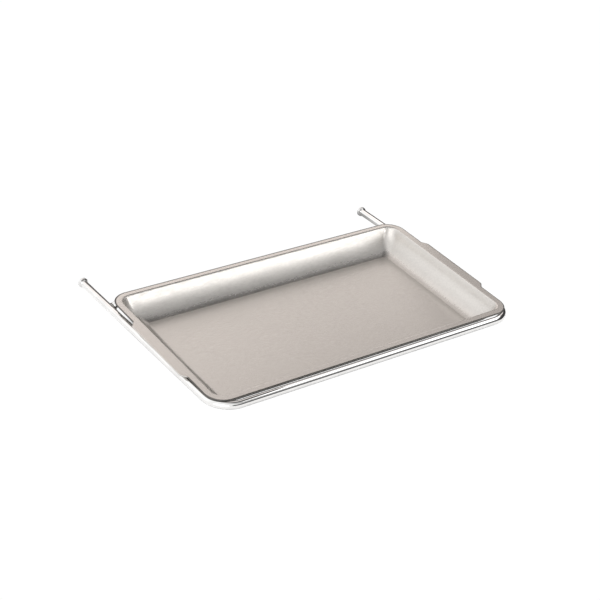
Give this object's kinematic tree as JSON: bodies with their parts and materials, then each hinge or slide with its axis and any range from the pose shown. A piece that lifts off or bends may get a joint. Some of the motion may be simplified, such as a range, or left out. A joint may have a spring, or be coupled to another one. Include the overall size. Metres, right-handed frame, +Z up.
{
  "type": "shallow tray in a rod carrier",
  "caption": "Shallow rectangular pressed steel tray with flat side ears, lifting out of a U-shaped round-rod carrier whose two legs slide into a host and end in stop buttons.",
  "frame": {"origin": "centre of the bounding box in X and Y, at the lowest point of the pan", "axes": "+X to the right along the front bar, +Y from the front bar towards the leg ends, +Z up; the carrier is level and the tray tips forward by 2.4 degrees"},
  "size_m": [0.2852, 0.2026, 0.0242],
  "materials": {
    "pan_steel": "satin brushed along the length, warm grey",
    "rod_steel": "polished stainless",
    "button_steel": "turned and lightly polished"
  },
  "bodies": {
    "carrier": {"carrier_rod": "rod_steel", "cross_rod": "rod_steel", "left_stop_button": "button_steel", "right_stop_button": "button_steel"},
    "tray": {"tray_pan": "pan_steel"}
  },
  "joints": [
    {"name": "tray_lift", "type": "slide", "parent": "carrier", "child": "tray", "axis": [0, 0, 1], "range_m": [0, 0.06]}
  ]
}
